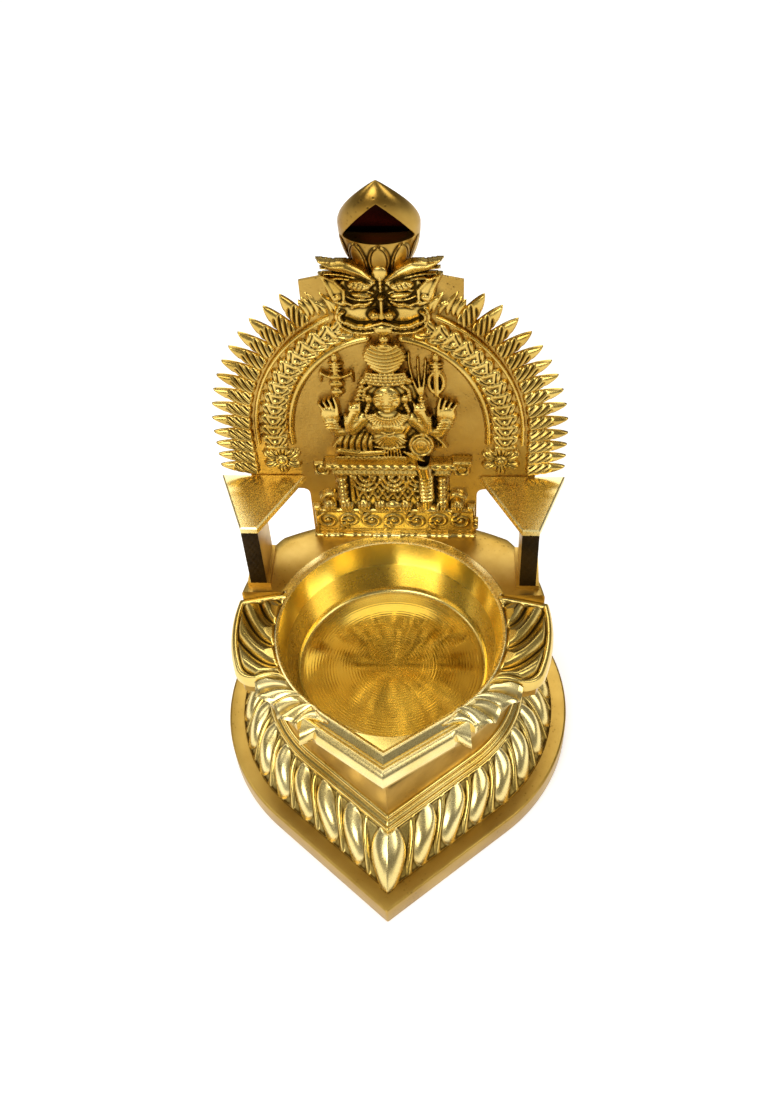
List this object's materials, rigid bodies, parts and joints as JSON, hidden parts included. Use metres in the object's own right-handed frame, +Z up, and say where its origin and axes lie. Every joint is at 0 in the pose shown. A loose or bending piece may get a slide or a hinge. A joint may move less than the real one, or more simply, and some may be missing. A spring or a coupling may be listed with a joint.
{
  "type": "altar oil lamp",
  "caption": "Standing brass altar lamp: heart-shaped gadrooned plinth, round oil cup with pointed wick spout, side posts and a carved arch plate with a seated figure.",
  "frame": {"origin": "on the table, under the middle of the plinth's bounding box", "axes": "+Z up, -Y towards the spout, +Y towards the back plate, +X to the right as seen from the front"},
  "size_m": [0.106, 0.1225, 0.178],
  "materials": {
    "cast_brass": "cast, brushed over and lacquer-free, dark in the recesses",
    "polished_brass": "buffed bright",
    "turned_brass": "lathe-turned, fine ring marks"
  },
  "bodies": {
    "root": {"back_plate": "cast_brass", "base_plinth": "cast_brass", "braze_seam": "cast_brass", "finial_bud": "polished_brass", "foot_frieze": "cast_brass", "gadroon_band": "cast_brass", "inner_arch_bead": "cast_brass", "left_flame_rays": "cast_brass", "left_front_petal": "polished_brass", "left_garland": "cast_brass", "left_leaf_panel": "cast_brass", "left_post": "cast_brass", "left_rear_petal": "polished_brass", "left_rosette": "cast_brass", "left_shoulder": "polished_brass", "lion_mask": "cast_brass", "oil_bowl": "turned_brass", "outer_arch_bead": "cast_brass", "plinth_cap": "cast_brass", "right_flame_rays": "cast_brass", "right_front_petal": "polished_brass", "right_garland": "cast_brass", "right_leaf_panel": "cast_brass", "right_post": "cast_brass", "right_rear_petal": "polished_brass", "right_rosette": "cast_brass", "right_shoulder": "polished_brass", "seated_figure": "cast_brass", "spout_lip": "polished_brass", "throne": "cast_brass"}
  },
  "joints": []
}
